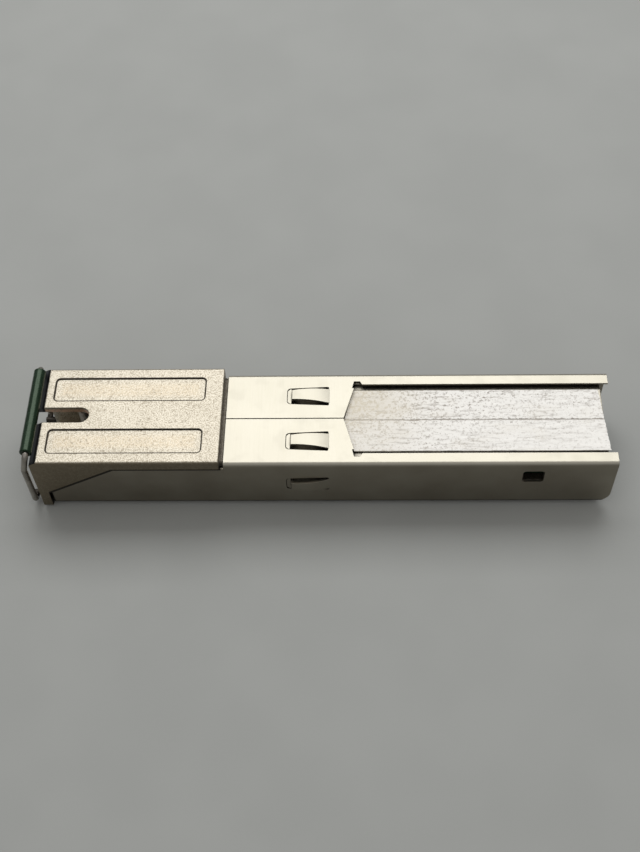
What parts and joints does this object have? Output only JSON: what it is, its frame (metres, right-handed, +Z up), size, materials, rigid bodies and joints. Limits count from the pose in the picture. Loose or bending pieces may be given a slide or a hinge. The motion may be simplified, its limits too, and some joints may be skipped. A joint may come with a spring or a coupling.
{
  "type": "gpon sfp module",
  "caption": "Pluggable fibre transceiver: die-cast nose with a square fibre port and wire bail, folded sheet body with grounding fingers, edge connector at the rear.",
  "frame": {"origin": "middle of the bottom face at the stop plane, where the wider nose meets the cage", "axes": "+X from the nose towards the edge connector, the way the module slides into its cage; +Z up, away from the latch; +Y across"},
  "size_m": [0.0713, 0.0144, 0.0114],
  "materials": {
    "zinc_casting": "satin nickel plating over a fine-grained zinc die casting",
    "cover_casting": "as-cast zinc, matt",
    "plated_sheet": "bright nickel-plated folded sheet",
    "blank_label": "blank, fibrous, slightly soiled white label face",
    "steel_wire": "drawn stainless wire",
    "green_sleeve": "dark green soft plastic tube",
    "latch_steel": "stamped stainless steel",
    "pin_steel": "ground steel",
    "spring_steel": "spring strip",
    "port_plastic": "light grey moulded plastic",
    "turned_steel": "turned stainless steel",
    "ceramic": "polished white zirconia",
    "gilt_can": "gold-plated can",
    "flex_film": "amber polyimide film",
    "board_green": "green solder mask",
    "contact_gold": "hard gold",
    "chip_black": "black moulding compound",
    "crystal_lid": "plated lid",
    "ferrite": "pressed metal powder",
    "capacitor_tan": "fired ceramic",
    "tinned_sheet": "tinned steel sheet",
    "heat_pad_grey": "soft silicone pad"
  },
  "bodies": {
    "housing": {"nose_housing": "zinc_casting", "top_cover": "cover_casting", "shell": "plated_sheet", "label_pad": "blank_label", "latch_pin": "pin_steel", "latch_spring": "spring_steel", "port_insert": "port_plastic", "receptacle_barrel": "turned_steel", "ferrule_sleeve": "ceramic", "fibre_stub": "ceramic", "optics_body": "turned_steel", "laser_can": "gilt_can", "photodiode_can": "gilt_can", "laser_flex": "flex_film", "photodiode_flex": "flex_film", "circuit_board": "board_green", "edge_contacts": "contact_gold", "controller_chip": "chip_black", "driver_chip": "chip_black", "flash_chip": "chip_black", "crystal": "crystal_lid", "inductors": "ferrite", "capacitors": "capacitor_tan", "shield_can": "tinned_sheet", "thermal_pad": "heat_pad_grey"},
    "bail": {"bail_wire": "steel_wire", "bail_sleeve": "green_sleeve"},
    "latch": {"latch_lever": "latch_steel"}
  },
  "joints": [
    {"name": "bail_hinge", "type": "hinge", "parent": "housing", "child": "bail", "pos_m": [-0.021, 0, 0.00075], "axis": [0, -1, 0], "range_deg": [0, 78]},
    {"name": "latch_rock", "type": "hinge", "parent": "housing", "child": "latch", "pos_m": [-0.006, 0, 0.00095], "axis": [0, -1, 0], "range_deg": [0, 3.2], "deforming": ["latch_spring"]}
  ],
  "couplings": [
    {"joint": "latch_rock", "follows": "bail_hinge", "ratio": 0.041}
  ]
}
